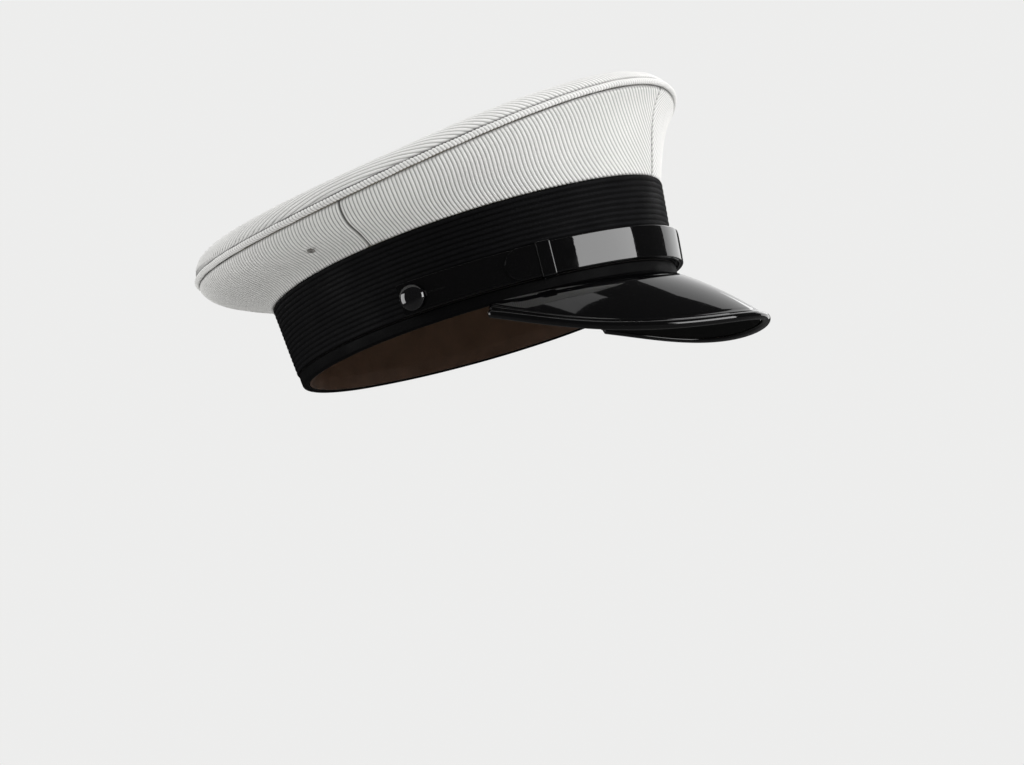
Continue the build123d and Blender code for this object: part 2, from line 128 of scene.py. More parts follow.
class CapLeather(PropertyGroup):
    """Colours of the leathers."""
    patent: FloatVectorProperty(name="Patent colour", description="Strap, keepers, peak and rim",
                                subtype="COLOR", default=(0.0018, 0.0018, 0.002), min=0, max=1)
    gloss: FloatProperty(name="Patent roughness", description="Lower is more mirror-like",
                         default=0.09, min=0, max=1, subtype="FACTOR")
    sweatband: FloatVectorProperty(name="Sweatband colour", description="Inside leather",
                                   subtype="COLOR", default=(0.085, 0.045, 0.026), min=0, max=1)


class CapStage(PropertyGroup):
    """Floor, background and light."""
    floor_drop: FloatProperty(name="Floor drop", description="Floor below the head opening",
                              default=0.45, unit="LENGTH")
    backdrop: FloatVectorProperty(name="Backdrop colour", description="Plain surroundings",
                                  subtype="COLOR", default=(0.80, 0.80, 0.795), min=0, max=1)
    backdrop_strength: FloatProperty(name="Backdrop strength", default=1.06, min=0,
                                     description="Surroundings as the camera sees them")
    fill_strength: FloatProperty(name="Fill strength", default=0.48, min=0,
                                 description="Soft light from all round")
    mirror_strength: FloatProperty(name="Mirrored strength", default=0.05, min=0,
                                   description="Surroundings as glossy pieces see them")
    light: FloatProperty(name="Light strength", default=1.0, min=0, description="Scales every lamp")


# ---------- plan and surfaces of the cap, in millimetres ----------

def oval_centre(g):
    """Arc centre and radius of the band's plan where it faces direction g."""
    c, s = np.cos(g), np.sin(g)
    end = np.abs(s) * np.cos(CORNER) <= np.abs(c) * np.sin(CORNER)
    cx = np.where(end, np.sign(c) * END_CENTRE, 0.0)
    cy = np.where(end, 0.0, -np.sign(s) * SIDE_CENTRE)
    return cx, cy, np.where(end, END_RADIUS, SIDE_RADIUS)


def band_point(g, offset, z):
    """Point at an offset from the band's leaning outside, facing direction g, at height z."""
    cx, cy, r = oval_centre(g)
    reach = r + offset + FLARE * z
    return np.stack(np.broadcast_arrays(cx + reach * np.cos(g), cy + reach * np.sin(g), z + 0 * g), -1)


def band_top(x):
    """Height of the band's upper edge, which climbs toward the front."""
    return BAND_HEIGHT + BAND_SLOPE * x


def oval_reach(oval, offset, theta):
    """Distance from the centre to a four-arc oval, moved out by offset, at polar angle theta."""
    a, b, r = (size + offset for size in oval)
    big = ((a - r) ** 2 + b * b - r * r) / (2 * (b - r))
    c, s = np.abs(np.cos(theta)), np.abs(np.sin(theta))
    e, h = a - r, big - b
    near = e * c + np.sqrt((e * c) ** 2 - e * e + r * r)
    far = -h * s + np.sqrt((h * s) ** 2 - h * h + big * big)
    return np.where(np.arctan2(near * s, near * c - e) <= math.atan2(h, e), near, far)


def edge_height(x, y):
    """Height of the piping's lower side: tilted up at the front, with drooping sides."""
    return CROWN_HEIGHT + CROWN_SLOPE * (x - CROWN_SHIFT) - CROWN_SADDLE * (y / CROWN_WIDTH) ** 2


def mix(theta, front, side, back):
    """Blend of the values at the front, sides and back for direction theta."""
    c = np.cos(theta)
    return front * np.clip(c, 0, 1) ** 2 + back * np.clip(-c, 0, 1) ** 2 + side * (1 - c * c)


def side_surface(theta, v):
    """Outside of the quarter panels, v from the band (0) to the piping (1), and its outward normal."""
    grow = FLARE * BAND_HEIGHT - 0.6
    reach = oval_reach(BAND_OVAL, grow, theta)
    low = np.stack([reach * np.cos(theta), reach * np.sin(theta), 0 * theta], -1)
    low[..., 2] = band_top(low[..., 0]) + 0.15
    reach = oval_reach(CROWN_OVAL, -0.3, theta)
    top = np.stack([reach * np.cos(theta) + CROWN_SHIFT, reach * np.sin(theta), 0 * theta], -1)
    lean_low = np.radians(mix(theta, 69, 42, 45))
    lean_top = np.radians(mix(theta, 39, 58, 77))
    top[..., 2] = edge_height(top[..., 0], top[..., 1]) - 0.15 - 1.2 * np.cos(lean_top)
    out = (top - low) * np.array([1, 1, 0])
    span = np.linalg.norm(top - low, axis=-1)[..., None]
    out /= np.linalg.norm(out, axis=-1)[..., None]
    up = np.array([0, 0, 1.0])
    pull = 0.31 * span
    one = low + out * pull * np.cos(lean_low)[..., None] + up * pull * np.sin(lean_low)[..., None]
    two = top - out * pull * np.cos(lean_top)[..., None] - up * pull * np.sin(lean_top)[..., None]
    v = np.asarray(v)[..., None]
    u = 1 - v
    point = low * u ** 3 + one * (3 * u * u * v) + two * (3 * u * v * v) + top * v ** 3
    rise = (one - low) * (3 * u * u) + (two - one) * (6 * u * v) + (top - two) * (3 * v * v)
    rise /= np.linalg.norm(rise, axis=-1)[..., None]
    normal = out * rise[..., 2:] - up * np.sum(rise * out, -1)[..., None]
    return point, normal


def wobble(x, y, z, size, seed):
    """Smooth made-up unevenness, about -1 to 1, with features of the given size."""
    rng = np.random.default_rng(seed)
    total = 0.0
    for _ in range(5):
        d = rng.normal(size=3)
        d *= 2 * math.pi / (size * np.linalg.norm(d) * rng.uniform(0.7, 1.5))
        total = total + np.sin(d[0] * x + d[1] * y + d[2] * z + rng.uniform(0, 6.3))
    return total / 3


def fade(distance, width, power=2):
    """1 at a seam or edge, falling smoothly to 0 a few widths away from it."""
    return np.exp(-(distance / width) ** power)


def rib(phase, power=0.62):
    """Round ribs with narrow valleys, 0 to 1."""
    return np.abs(np.sin(math.pi * phase)) ** power


def peak_rim(t):
    """Middle of the rim, t from 0 at the wearer's right to 1 at the left."""
    s = np.where(t <= 0.5, 2 * t, 2 - 2 * t)[..., None]
    hand = np.where(t <= 0.5, 1.0, -1.0)
    one, three = PEAK_END + PEAK_PULL, PEAK_TIP - np.array([0, PEAK_TIP_PULL, 0])
    u = 1 - s
    p = (PEAK_END * u ** 4 + one * (4 * u ** 3 * s) + PEAK_CORNER * (6 * u * u * s * s)
         + three * (4 * u * s ** 3) + PEAK_TIP * s ** 4)
    p[..., 1] *= hand
    return p


def peak_surface(t, w, inset=-1.2, height=0.4, fullness=0.04):
    """Sheet from the band (w 0), inset from its foot and at a height, to the rim (w 1)."""
    theta = np.radians(PEAK_ROOT_ANGLE * (2 * t - 1))
    reach = oval_reach(BAND_OVAL, inset, theta)
    root = np.stack([reach * np.cos(theta), reach * np.sin(theta), height + 0 * theta], -1)
    way = peak_rim(t) - root
    span = np.linalg.norm(way, axis=-1)
    w = w * (span - RIM_RADIUS - 0.08) / span
    camber = fullness * span * 4 * w * (1 - w)
    lift = np.stack([camber * 0.7 * way[..., 0] / span, 0 * camber, camber * 0.75], -1)
    return root + way * w[..., None] + lift


def sheet_normals(points, lowest=0.0):
    """Unit normals of a grid of points; those that point further down than lowest are turned over."""
    across = np.gradient(points, axis=1)
    along = np.gradient(points, axis=0)
    n = np.cross(across, along)
    n = n / np.maximum(np.linalg.norm(n, axis=-1), 1e-9)[..., None]
    return np.where(n[..., 2:] < lowest, -n, n)


# ---------- modelling helpers ----------

def clear_selection():
    """Leave edit mode and deselect everything."""
    if bpy.context.object and bpy.context.object.mode != "OBJECT":
        bpy.ops.object.mode_set(mode="OBJECT")
    bpy.ops.object.select_all(action="DESELECT")


def set_points(obj, points, uv=None):
    """Place every vertex, given in millimetres, and give the mesh its cloth coordinates."""
    mesh = obj.data
    flat = np.ascontiguousarray(points, dtype=np.float64).reshape(-1, 3) * MM
    mesh.vertices.foreach_set("co", flat.ravel())
    if uv is not None:
        index = np.empty(len(mesh.loops), dtype=np.int64)
        mesh.loops.foreach_get("vertex_index", index)
        layer = mesh.uv_layers.active or mesh.uv_layers.new(name="cloth")
        layer.name = "cloth"
        layer.data.foreach_set("uv", np.ascontiguousarray(uv.reshape(-1, 2)[index]).ravel())
    mesh.update()


def set_depth(obj, depth):
    """Store how high each point stands on its rib, 0 in the valleys, which the finishes turn into
    painted shade in the valleys.
    """
    layer = obj.data.attributes.get("depth") or obj.data.attributes.new("depth", "FLOAT", "POINT")
    layer.data.foreach_set("value", np.ascontiguousarray(depth, dtype=np.float64).ravel())


def weld():
    """Merge the active piece's doubled vertices and turn its faces outwards."""
    bpy.ops.object.mode_set(mode="EDIT")
    bpy.ops.mesh.select_all(action="SELECT")
    bpy.ops.mesh.remove_doubles(threshold=1e-7)
    bpy.ops.mesh.normals_make_consistent(inside=False)
    bpy.ops.object.mode_set(mode="OBJECT")


def smooth(angle=None):
    """Shade the active piece smooth, all over or below an angle in degrees."""
    if angle is None:
        bpy.ops.object.shade_smooth()
    else:
        bpy.ops.object.shade_smooth_by_angle(angle=math.radians(angle))


def thicken(obj, behind, thickness, offset):
    """Turn a sheet's shown side away from a point behind it, in metres, and make it solid."""
    face = obj.data.polygons[len(obj.data.polygons) // 2]
    if face.normal.dot(face.center - Vector(behind)) < 0:
        obj.data.flip_normals()
    bpy.ops.object.modifier_add(type="SOLIDIFY")
    modifier = obj.modifiers[-1]
    modifier.thickness, modifier.offset = thickness, offset
    bpy.ops.object.modifier_apply(modifier=modifier.name)
    smooth()


def grid_piece(name, points, uv=None):
    """A rectangular grid whose rows and columns are laid out as points says."""
    rows, columns = points.shape[:2]
    clear_selection()
    bpy.ops.mesh.primitive_grid_add(x_subdivisions=columns - 1, y_subdivisions=rows - 1, size=1)
    obj = bpy.context.object
    obj.name = name
    set_points(obj, points, uv)
    return obj


def ring_piece(name, place, around, section, depth=None):
    """A closed ring: place(i, j) gives points in millimetres for arrays of ring and section steps."""
    i, j = np.indices((around + 1, section + 1)).reshape(2, -1)
    i, j = i % around, j % section
    obj = grid_piece(name, place(i, j).reshape(around + 1, section + 1, 3))
    # An optional function gives each point its level of painted rib shade.
    if depth:
        set_depth(obj, depth(i, j))
    weld()
    smooth()
    return obj


def tube_piece(name, rings):
    """A closed tube through rings of points, its ends drawn in to a point."""
    first, last = (np.repeat(ring.mean(axis=1)[:, None], rings.shape[1], axis=1)
                   for ring in (rings[:1], rings[-1:]))
    rings = np.concatenate([first, rings, last])
    rings = np.concatenate([rings, rings[:, :1]], axis=1)
    obj = grid_piece(name, rings)
    weld()
    smooth()
    return obj


def rounded_section(half_u, half_v, radius, straight=6, corner=5):
    """Closed outline of a rounded bar, as (u, v) points, anticlockwise from its right side."""
    points = []
    corners = ((1, 1, 0), (-1, 1, 90), (-1, -1, 180), (1, -1, 270))
    for n, (sx, sy, start) in enumerate(corners):
        cx, cy = sx * (half_u - radius), sy * (half_v - radius)
        for k in range(corner + 1):
            a = math.radians(start + 90 * k / corner)
            points.append((cx + radius * math.cos(a), cy + radius * math.sin(a)))
        nx, ny, begin = corners[(n + 1) % 4]
        a = math.radians(begin)
        goal = (nx * (half_u - radius) + radius * math.cos(a),
                ny * (half_v - radius) + radius * math.sin(a))
        last = points[-1]
        for k in range(1, straight):
            share = k / straight
            points.append((last[0] + (goal[0] - last[0]) * share,
                           last[1] + (goal[1] - last[1]) * share))
    return np.array(points)


def finish_piece(obj, material, body, replaces=()):
    """Give a piece its material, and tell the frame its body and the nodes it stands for."""
    obj.data.materials.clear()
    obj.data.materials.append(material)
    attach(obj, body)
    if replaces:
        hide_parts(*replaces)


def paint_node(node, material):
    """Give a node of the frame its material."""
    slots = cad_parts[node].data.materials
    slots.clear()
    slots.append(material)


# ---------- finishes ----------

class Finish:
    """A material with its shader, and short calls that add nodes to it."""

    def __init__(self, name, colour, roughness, **inputs):
        self.material = bpy.data.materials.new(name)
        self.material.use_nodes = True
        self.nodes = self.material.node_tree.nodes
        self.links = self.material.node_tree.links
        self.shader = self.nodes["Principled BSDF"]
        self.shader.inputs["Base Color"].default_value = (*colour, 1)
        self.shader.inputs["Roughness"].default_value = roughness
        for key, value in inputs.items():
            self.shader.inputs[key.replace("_", " ")].default_value = value

    def node(self, kind, settings=None, **inputs):
        """Add a node; inputs are values or sockets, named as on the node or i0, i1 and so on."""
        made = self.nodes.new(kind)
        for key, value in (settings or {}).items():
            setattr(made, key, value)
        for key, value in inputs.items():
            numbered = key[0] == "i" and key[1:].isdigit()
            socket = made.inputs[int(key[1:]) if numbered else key.replace("_", " ")]
            if isinstance(value, bpy.types.NodeSocket):
                self.links.new(value, socket)
            else:
                socket.default_value = value
        return made

    def math(self, operation, a, b=0.0):
        """Result of one sum on two values or sockets."""
        return self.node("ShaderNodeMath", {"operation": operation}, i0=a, i1=b).outputs[0]

    def coordinates(self, stretch=(1, 1, 1), flat=False):
        """Places on the object, or on the flat cloth before it was sewn."""
        if flat:
            source = self.node("ShaderNodeUVMap", {"uv_map": "cloth"}).outputs["UV"]
        else:
            source = self.node("ShaderNodeTexCoord").outputs["Object"]
        return self.node("ShaderNodeMapping", None, Vector=source, Scale=stretch).outputs[0]

    def noise(self, scale, detail=3.0, roughness=0.55, stretch=(1, 1, 1), flat=False):
        """Uneven pattern, 0 to 1."""
        return self.node("ShaderNodeTexNoise", None, Vector=self.coordinates(stretch, flat),
                         Scale=scale, Detail=detail, Roughness=roughness).outputs["Fac"]

    def spread(self, value, low, high, to_low, to_high):
        """Value moved from one range to another, held at its ends."""
        return self.node("ShaderNodeMapRange", None, Value=value, From_Min=low, From_Max=high,
                         To_Min=to_low, To_Max=to_high).outputs[0]

    def tint(self, factor, dark, light):
        """Colour the shader from dark at 0 to light at 1."""
        ramp = self.node("ShaderNodeValToRGB", None, Fac=factor)
        ramp.color_ramp.elements[0].color = (*dark, 1)
        ramp.color_ramp.elements[1].color = (*light, 1)
        self.links.new(ramp.outputs["Color"], self.shader.inputs["Base Color"])

    def bump(self, height, distance, strength=1.0, below=None):
        """Fine relief, over another bump if there is one below."""
        made = self.node("ShaderNodeBump", None, Height=height, Distance=distance, Strength=strength)
        if below:
            self.links.new(below.outputs[0], made.inputs["Normal"])
        self.links.new(made.outputs[0], self.shader.inputs["Normal"])
        return made

    def rough(self, value):
        """Let a socket set the roughness."""
        self.links.new(value, self.shader.inputs["Roughness"])


def ribbed_cloth(cloth, name, follow_uv=True):
    """White cord-ribbed cloth: fine threads cross each rib, and the valleys between ribs are darkened
    with painted shade.
    """
    finish = Finish(name, cloth.colour, 0.86, Sheen_Weight=0.15, Sheen_Roughness=0.5,
                    Specular_IOR_Level=0.2)
    height = finish.node("ShaderNodeAttribute", {"attribute_name": "depth"}).outputs["Fac"]
    if follow_uv:
        cut = finish.coordinates(flat=True)
        along = finish.node("ShaderNodeSeparateXYZ", None, Vector=cut).outputs["Y"]
        turn = finish.math("MULTIPLY", along, 2 * math.pi / (THREAD_PITCH * CLOTH_SCALE))
        threads = finish.math("SINE", turn)
        threads = finish.math("MULTIPLY", threads, height)
        grain = finish.noise(140.0, flat=True)
    else:
        threads = finish.noise(1800.0, 2.0)
        grain = finish.noise(300.0)
    soil = finish.noise(22.0, 4.0)
    # Painted shade: the rib valleys and grooves go down to a fifth of the cloth's colour; the soil noise
    # is an uneven tone of the cloth itself.
    shade = finish.math("MULTIPLY", finish.spread(soil, 0.3, 0.7, 0.9, 1.0),
                        finish.spread(height, 0.0, 0.78, 0.0, 1.0))
    finish.tint(shade, tuple(c * 0.2 for c in cloth.colour), tuple(cloth.colour))
    first = finish.bump(threads, 0.00006, 0.55)
    finish.bump(grain, 0.0001, 0.35, first)
    return finish.material


def mohair_braid(band):
    """Black ribbed braid: fine slanting hairs over each rib, with a dull lustre, painted shade in the
    valleys and painted light on the crests.
    """
    finish = Finish("black_mohair_braid", band.colour, 0.62, Sheen_Weight=0.012, Sheen_Roughness=0.35,
                    Specular_IOR_Level=0.08, Sheen_Tint=(0.5, 0.5, 0.52, 1))
    hairs = finish.noise(2600.0, 2.0, 0.7, (1, 1, 0.35))
    knots = finish.noise(900.0, 3.0)
    lustre = finish.noise(45.0, 3.0)
    finish.rough(finish.spread(lustre, 0.3, 0.7, 0.52, 0.75))
    height = finish.node("ShaderNodeAttribute", {"attribute_name": "depth"}).outputs["Fac"]
    # Painted shade and light: the braid is coloured darker in its rib valleys and lighter on its crests,
    # mottled by the knots' uneven tone.
    shade = finish.math("MULTIPLY", finish.spread(knots, 0.3, 0.75, 0.4, 1.0),
                        finish.spread(height, 0.2, 0.95, 0.0, 1.0))
    finish.tint(shade, tuple(c * 0.3 for c in band.colour),
                tuple(min(1, c * 3.6) for c in band.colour))
    first = finish.bump(hairs, 0.0002, 0.8)
    finish.bump(knots, 0.00025, 0.6, first)
    return finish.material


def patent_leather(leather, name="black_patent", wave=0.6):
    """Lacquered leather: a mirror coat over a faint grain, with fine handling marks."""
    finish = Finish(name, leather.patent, leather.gloss, Coat_Weight=1.0, Coat_Roughness=0.025,
                    Specular_IOR_Level=0.08)
    orange_peel = finish.noise(420.0, 2.0)
    swell = finish.noise(60.0, 2.0)
    marks = finish.noise(170.0, 6.0, 0.7)
    finish.rough(finish.spread(marks, 0.45, 0.75, leather.gloss * 0.7, leather.gloss * 2.4))
    first = finish.bump(orange_peel, 0.00002 * wave, 0.35)
    second = finish.bump(swell, 0.00012 * wave, 0.35, first)
    finish.links.new(second.outputs[0], finish.shader.inputs["Coat Normal"])
    return finish.material


def grained_leather(name, colour, grain=0.6, roughness=0.5, shine=0.45):
    """Leather with fine cells and long creases."""
    finish = Finish(name, colour, roughness, Specular_IOR_Level=shine)
    cells = finish.node("ShaderNodeTexVoronoi", {"feature": "DISTANCE_TO_EDGE"},
                        Vector=finish.coordinates(), Scale=900.0).outputs["Distance"]
    creases = finish.noise(120.0, 5.0)
    finish.rough(finish.spread(creases, 0.3, 0.7, roughness - 0.1, roughness + 0.12))
    finish.tint(finish.spread(creases, 0.3, 0.75, 0, 1), tuple(c * 0.7 for c in colour), tuple(colour))
    first = finish.bump(cells, 0.00012 * grain, 0.7)
    finish.bump(creases, 0.0002 * grain, 0.5, first)
    return finish.material


def plain_weave(name, colour, pitch=0.0006):
    """Thread or lining, woven at a pitch in metres."""
    finish = Finish(name, colour, 0.6, Sheen_Weight=0.2)
    waves = [finish.node("ShaderNodeTexWave", {"wave_type": "BANDS", "bands_direction": axis},
                         Vector=finish.coordinates(), Scale=0.16 / pitch,
                         Distortion=0.4).outputs["Fac"] for axis in ("X", "Y")]
    both = finish.math("MULTIPLY", *waves)
    finish.tint(both, tuple(c * 0.75 for c in colour), tuple(colour))
    finish.bump(both, 0.0001, 0.6)
    return finish.material


def pressed_board(name, colour):
    """Matt fibre board."""
    finish = Finish(name, colour, 0.85)
    fibres = finish.noise(350.0, 5.0, 0.7, (1, 1, 3))
    finish.tint(finish.spread(fibres, 0.3, 0.7, 0, 1), tuple(c * 0.6 for c in colour), tuple(colour))
    finish.bump(fibres, 0.0002, 0.6)
    return finish.material


def moulded_plastic(name, colour, roughness=0.4):
    """Plastic with a faint mould texture."""
    finish = Finish(name, colour, roughness, Specular_IOR_Level=0.5)
    texture = finish.noise(500.0, 2.0)
    finish.rough(finish.spread(texture, 0.3, 0.7, roughness * 0.85, roughness * 1.2))
    finish.bump(texture, 0.00005, 0.4)
    return finish.material


def drawn_brass(name, colour):
    """Brass with fine drawing lines."""
    finish = Finish(name, colour, 0.3, Metallic=1.0)
    lines = finish.noise(2500.0, 2.0, stretch=(1, 0.1, 1))
    finish.rough(finish.spread(lines, 0.3, 0.7, 0.2, 0.42))
    finish.bump(lines, 0.00002, 0.4)
    return finish.material


# ---------- crown ----------

def panel_layout(seam, far):
    """The flat sector a quarter panel is cut from, and its even spacing from its side seam."""
    share = np.linspace(0, 1, 241)
    lengths = []
    for v in (0.0, 0.5, 1.0):
        theta = np.radians((seam[0] + (seam[1] - seam[0]) * v) * (1 - share)
                           + (far[0] + (far[1] - far[0]) * v) * share)
        line = side_surface(theta, v + 0 * share)[0]
        lengths.append(np.concatenate([[0], np.cumsum(np.linalg.norm(np.diff(line, axis=0), axis=1))]))
    rise = side_surface(np.radians(np.full(21, (seam[0] + far[0]) / 2)), np.linspace(0, 1, 21))[0]
    slant = np.linalg.norm(np.diff(rise, axis=0), axis=1).sum()
    low, top = lengths[0][-1], lengths[2][-1]
    inner = slant * low / (top - low)
    return inner, slant, low / inner, share, lengths[1] / lengths[1][-1]


def quarter_points(seam, far, cloth, seed, hole):
    """Grid that follows the cloth's ribs, which run parallel to the side seam in each cut panel."""
    inner, slant, spread, share, even = panel_layout(seam, far)
    outer = inner + slant
    pitch = cloth.rib_pitch / MM
    reach = outer * math.sin(spread) * 0.9995
    x = np.linspace(0, reach, int(reach / (pitch / QUARTER_STEPS)) + 1)[None, :]
    t = np.linspace(0, 1, QUARTER_ROWS)[:, None]
    first = np.maximum(inner, x / math.sin(spread))
    rho = first + (outer - first) * t
    alpha = np.arcsin(np.clip(x / rho, 0, 1))
    v = np.clip((rho - inner) / slant, 0, 1)
    place = np.interp(alpha / spread, even, share)
    theta = np.radians((seam[0] + (seam[1] - seam[0]) * v) * (1 - place)
                       + (far[0] + (far[1] - far[0]) * v) * place)
    sway = 0.006 * np.sin(math.pi * v) * wobble(theta * 60, v * 14, 0, 55, seed)
    if hole is None:
        bend = 0.009 * np.sin(2 * math.pi * v) * np.sin(math.pi * place) ** 0.7
        sway = sway + np.sign(seam[0]) * bend
    point, normal = side_surface(theta + sway, v)
    to_seam = rho * np.minimum(alpha, spread - alpha)
    to_piping = outer - rho
    to_band = rho - inner
    cord = rib(x / pitch + 0 * rho)
    # The ribs are pressed flat and drawn in where they are sewn, and the cloth puckers beside that.
    flat = (1 - 0.6 * fade(to_piping, 1.2)) * (1 - 0.8 * fade(to_seam, 0.8))
    sink = 0.85 * fade(to_seam, 0.75) + 0.6 * fade(to_piping, 0.9) + 0.25 * fade(to_band, 0.8)
    pucker = wobble(point[..., 0], point[..., 1], 0 * v, 9, seed + 1) * 0.16
    pucker = pucker * (fade(to_piping, 7, 1) + fade(to_seam, 5, 1) + 0.6 * fade(to_band, 5, 1))
    broad = 0.4 * wobble(point[..., 0], point[..., 1], point[..., 2], 60, seed + 2) * np.sin(math.pi * v)
    if hole is not None:
        near = fade(np.linalg.norm(point - hole, axis=-1), 4.0, 4)
        flat, broad = flat * (1 - 0.8 * near), broad * (1 - near)
    relief = cloth.rib_height / MM * cord * flat - 0.2 - sink + pucker + broad
    cut = np.stack([np.broadcast_to(x, rho.shape), rho * np.cos(alpha)], -1) * CLOTH_SCALE
    # Painted shade: each rib's valleys, and the grooves along the seams, the piping and the band, are
    # darkened in the cloth's colour.
    depth = cord * np.clip(1 - 1.3 * sink, 0, 1)
    return point + normal * relief[..., None], cut, depth


def eyelet_frame(hand):
    """Centre of a vent eyelet, with its upward, sideways and outward directions."""
    theta = np.radians(np.array([hand * EYELET_ANGLE]))
    here, normal = (found[0] for found in side_surface(theta, np.array([EYELET_SHARE])))
    above = side_surface(theta, np.array([EYELET_SHARE + 0.02]))[0][0]
    up = (above - here) / np.linalg.norm(above - here)
    return here, up, np.cross(up, normal), normal


def cut_hole(obj, centre, radius):
    """Open a round hole in the cloth by removing its vertices."""
    places = np.empty(len(obj.data.vertices) * 3)
    obj.data.vertices.foreach_get("co", places)
    inside = np.linalg.norm(places.reshape(-1, 3) - centre * MM, axis=1) < radius * MM
    bpy.ops.object.mode_set(mode="EDIT")
    bpy.ops.mesh.select_all(action="DESELECT")
    bpy.ops.object.mode_set(mode="OBJECT")
    obj.data.vertices.foreach_set("select", inside)
    bpy.ops.object.mode_set(mode="EDIT")
    bpy.ops.mesh.delete(type="VERT")
    bpy.ops.object.mode_set(mode="OBJECT")


class CAP_OT_quarters(Operator):
    """Model the four ribbed quarter panels of the crown"""
    bl_idname = "cap.quarters"
    bl_label = "Crown quarters"

    def execute(self, context):
        cloth = context.scene.cap_cloth
        material = ribbed_cloth(cloth, "white_quarter_cloth")
        left, right = SIDE_SEAM, (-SIDE_SEAM[0], -SIDE_SEAM[1])
        quarters = (("front_right", right, (0, 0), None), ("front_left", left, (0, 0), None),
                    ("rear_right", right, (-180, -180), -1), ("rear_left", left, (180, 180), 1))
        for seed, (name, seam, far, hand) in enumerate(quarters):
            hole = eyelet_frame(hand)[0] if hand else None
            points, cut, depth = quarter_points(seam, far, cloth, 10 + 5 * seed, hole)
            panel = grid_piece("crown_" + name + "_cloth", points, cut)
            set_depth(panel, depth)
            if hand:
                cut_hole(panel, hole, EYELET_HOLE)
            thicken(panel, (0, 0, CROWN_HEIGHT * MM), cloth.thickness, -1)
            finish_piece(panel, material, "cap", ["crown_" + name])
        return {"FINISHED"}


def top_knee(theta):
    """Where the flat top starts to turn down, and how far down the cloth goes from there."""
    edge = oval_reach(CROWN_OVAL, -0.2, theta)
    fall = TOP_RISE - TOP_LEAN * edge * np.cos(theta) - PIPING - 0.05
    turn = np.arccos(np.clip(1 - fall / TOP_ROUND, 0, 1))
    return edge - TOP_ROUND, TOP_ROUND * turn + np.maximum(fall - TOP_ROUND, 0)


def top_surface(x_cut, y_cut):
    """Where a point of the flat top panel lies once it is stretched over the crown's edge."""
    theta = np.arctan2(y_cut, x_cut)
    knee, _ = top_knee(theta)
    past = np.clip(np.hypot(x_cut, y_cut) - knee, 0, None)
    turned = np.minimum(past / TOP_ROUND, math.pi / 2)
    reach = np.where(past > 0, knee + TOP_ROUND * np.sin(turned), np.hypot(x_cut, y_cut))
    drop = TOP_ROUND * (1 - np.cos(turned)) + np.maximum(past - TOP_ROUND * math.pi / 2, 0)
    x, y = reach * np.cos(theta), reach * np.sin(theta)
    z = edge_height(x + CROWN_SHIFT, y) + TOP_RISE - TOP_LEAN * x - drop
    return np.stack([x + CROWN_SHIFT, y, z], -1)


def top_points(cloth):
    """Grid over the top panel whose columns follow the ribs, front to back."""
    pitch = cloth.rib_pitch / MM
    knee, skirt = top_knee(np.array([math.pi / 2]))
    half = float(knee[0] + skirt[0]) * 0.9998
    y = np.linspace(-half, half, int(2 * half / (pitch / TOP_STEPS)) + 1)[None, :]
    ends = []
    for hand in (-1, 1):
        x = np.full(y.shape, hand * 100.0)
        for _ in range(60):
            knee, skirt = top_knee(np.arctan2(y, x))
            x = hand * np.sqrt(np.maximum((knee + skirt) ** 2 - y * y, 1e-6))
        ends.append(x)
    t = np.linspace(-math.pi / 2, math.pi / 2, TOP_ROWS)[:, None]
    x = (ends[1] - ends[0]) / 2 * np.sin(t) + (ends[1] + ends[0]) / 2
    point = top_surface(x, y)
    normal = sheet_normals(point, -0.2)
    knee, skirt = top_knee(np.arctan2(y, x))
    to_piping = knee + skirt - np.hypot(x, y)
    cord = rib(y / pitch + 0 * x)
    relief = cloth.rib_height / MM * cord * (1 - 0.6 * fade(to_piping, 1.0))
    pucker = 0.18 * wobble(point[..., 0], point[..., 1], 0 * x, 9, 61) * fade(to_piping, 8, 1)
    broad = 0.5 * wobble(point[..., 0], point[..., 1], 0 * x, 90, 62) * np.clip(to_piping / 30, 0, 1)
    relief = relief - 0.2 + pucker + broad - 0.5 * fade(to_piping, 0.8)
    cut = np.stack([np.broadcast_to(y, x.shape), x], -1) * CLOTH_SCALE
    # Painted shade: the rib valleys, and the groove along the piping, are darkened in the cloth's
    # colour.
    depth = cord * np.clip(1 - fade(to_piping, 0.9), 0, 1)
    return point + normal * relief[..., None], cut, depth


class CAP_OT_top(Operator):
    """Model the ribbed top panel, stretched over the crown's edge"""
    bl_idname = "cap.top"
    bl_label = "Crown top"

    def execute(self, context):
        cloth = context.scene.cap_cloth
        points, cut, depth = top_points(cloth)
        panel = grid_piece("crown_top_cloth", points, cut)
        set_depth(panel, depth)
        thicken(panel, (0, 0, 0), cloth.thickness, -1)
        material = ribbed_cloth(cloth, "white_top_cloth")
        finish_piece(panel, material, "cap", ["crown_top"])
        return {"FINISHED"}


